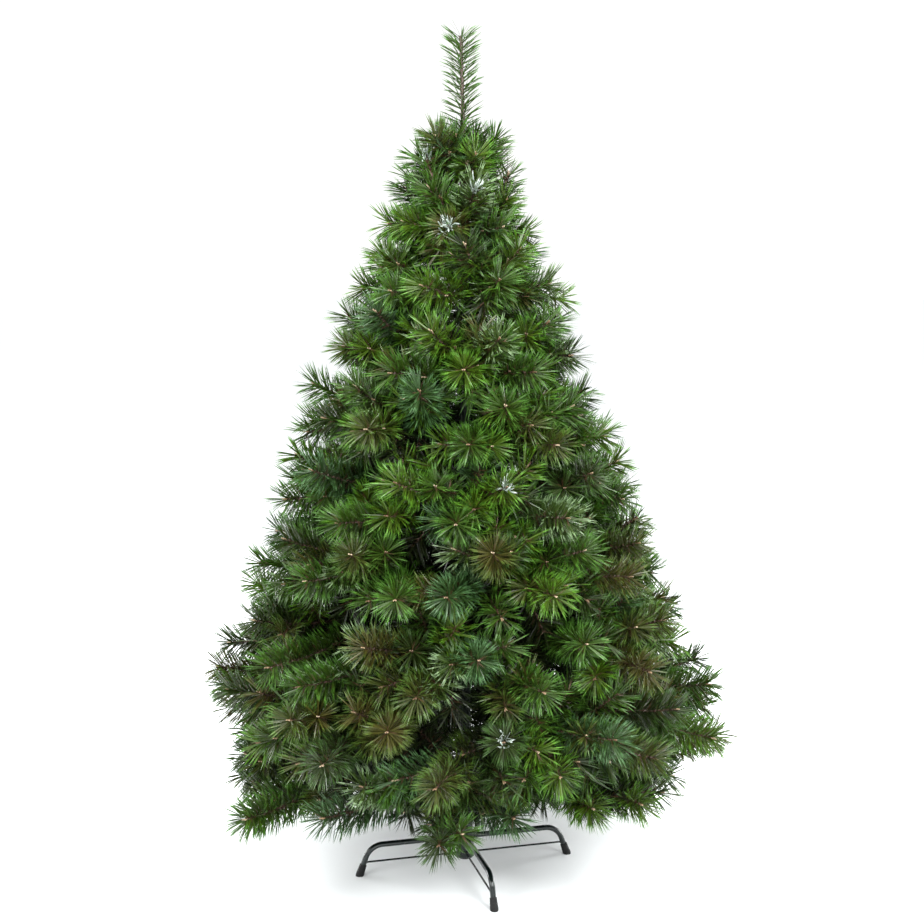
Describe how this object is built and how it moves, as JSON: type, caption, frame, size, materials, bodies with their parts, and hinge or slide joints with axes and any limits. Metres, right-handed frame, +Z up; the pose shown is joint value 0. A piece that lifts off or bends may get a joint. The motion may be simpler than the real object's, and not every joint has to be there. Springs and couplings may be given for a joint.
{
  "type": "artificial christmas tree on a metal stand",
  "caption": "Undecorated artificial christmas tree with long soft green needles, an upright leader and a steel pole in a splayed metal stand with rubber feet.",
  "frame": {"origin": "on the floor under the pole, on the pole's axis, which is also the middle of the object's footprint", "axes": "+Z up along the pole, -Y towards the front of the tree, +X to the right of someone who looks at the front"},
  "size_m": [1.1592, 1.1485, 1.7995],
  "materials": {
    "needles": "slightly glossy cut PVC film needles in mid green to blue green",
    "bough_wire": "brown painted steel wire",
    "pole_paint": "dark green satin paint on steel tube",
    "painted_steel": "green black satin powder coat",
    "foot_rubber": "matt black moulded rubber"
  },
  "bodies": {
    "root": {"stand_hub": "painted_steel", "stand_leg_1": "painted_steel", "stand_leg_2": "painted_steel", "stand_leg_3": "painted_steel", "stand_leg_4": "painted_steel", "foot_cap_1": "foot_rubber", "foot_cap_2": "foot_rubber", "foot_cap_3": "foot_rubber", "foot_cap_4": "foot_rubber", "pole": "pole_paint", "bough_1_1": "bough_wire", "bough_1_2": "bough_wire", "bough_1_3": "bough_wire", "bough_1_4": "bough_wire", "bough_1_5": "bough_wire", "bough_2_1": "bough_wire", "bough_2_2": "bough_wire", "bough_2_3": "bough_wire", "bough_2_4": "bough_wire", "bough_2_5": "bough_wire", "foliage_1_1": "needles", "foliage_1_2": "needles", "foliage_1_3": "needles", "foliage_1_4": "needles", "foliage_1_5": "needles", "foliage_2_1": "needles", "foliage_2_2": "needles", "foliage_2_3": "needles", "foliage_2_4": "needles", "foliage_2_5": "needles", "foliage_3_1": "needles", "foliage_3_2": "needles", "foliage_3_3": "needles", "foliage_3_4": "needles", "foliage_3_5": "needles", "foliage_4_1": "needles", "foliage_4_2": "needles", "foliage_4_3": "needles", "foliage_4_4": "needles", "foliage_4_5": "needles", "foliage_5_1": "needles", "foliage_5_2": "needles", "foliage_5_3": "needles", "foliage_5_4": "needles", "foliage_6_1": "needles", "foliage_6_2": "needles", "foliage_6_3": "needles", "foliage_6_4": "needles", "foliage_7_1": "needles", "foliage_7_2": "needles", "foliage_7_3": "needles", "foliage_7_4": "needles", "foliage_8_1": "needles", "foliage_8_2": "needles", "foliage_8_3": "needles", "foliage_9_1": "needles", "foliage_9_2": "needles", "foliage_9_3": "needles", "leader": "needles"}
  },
  "joints": []
}
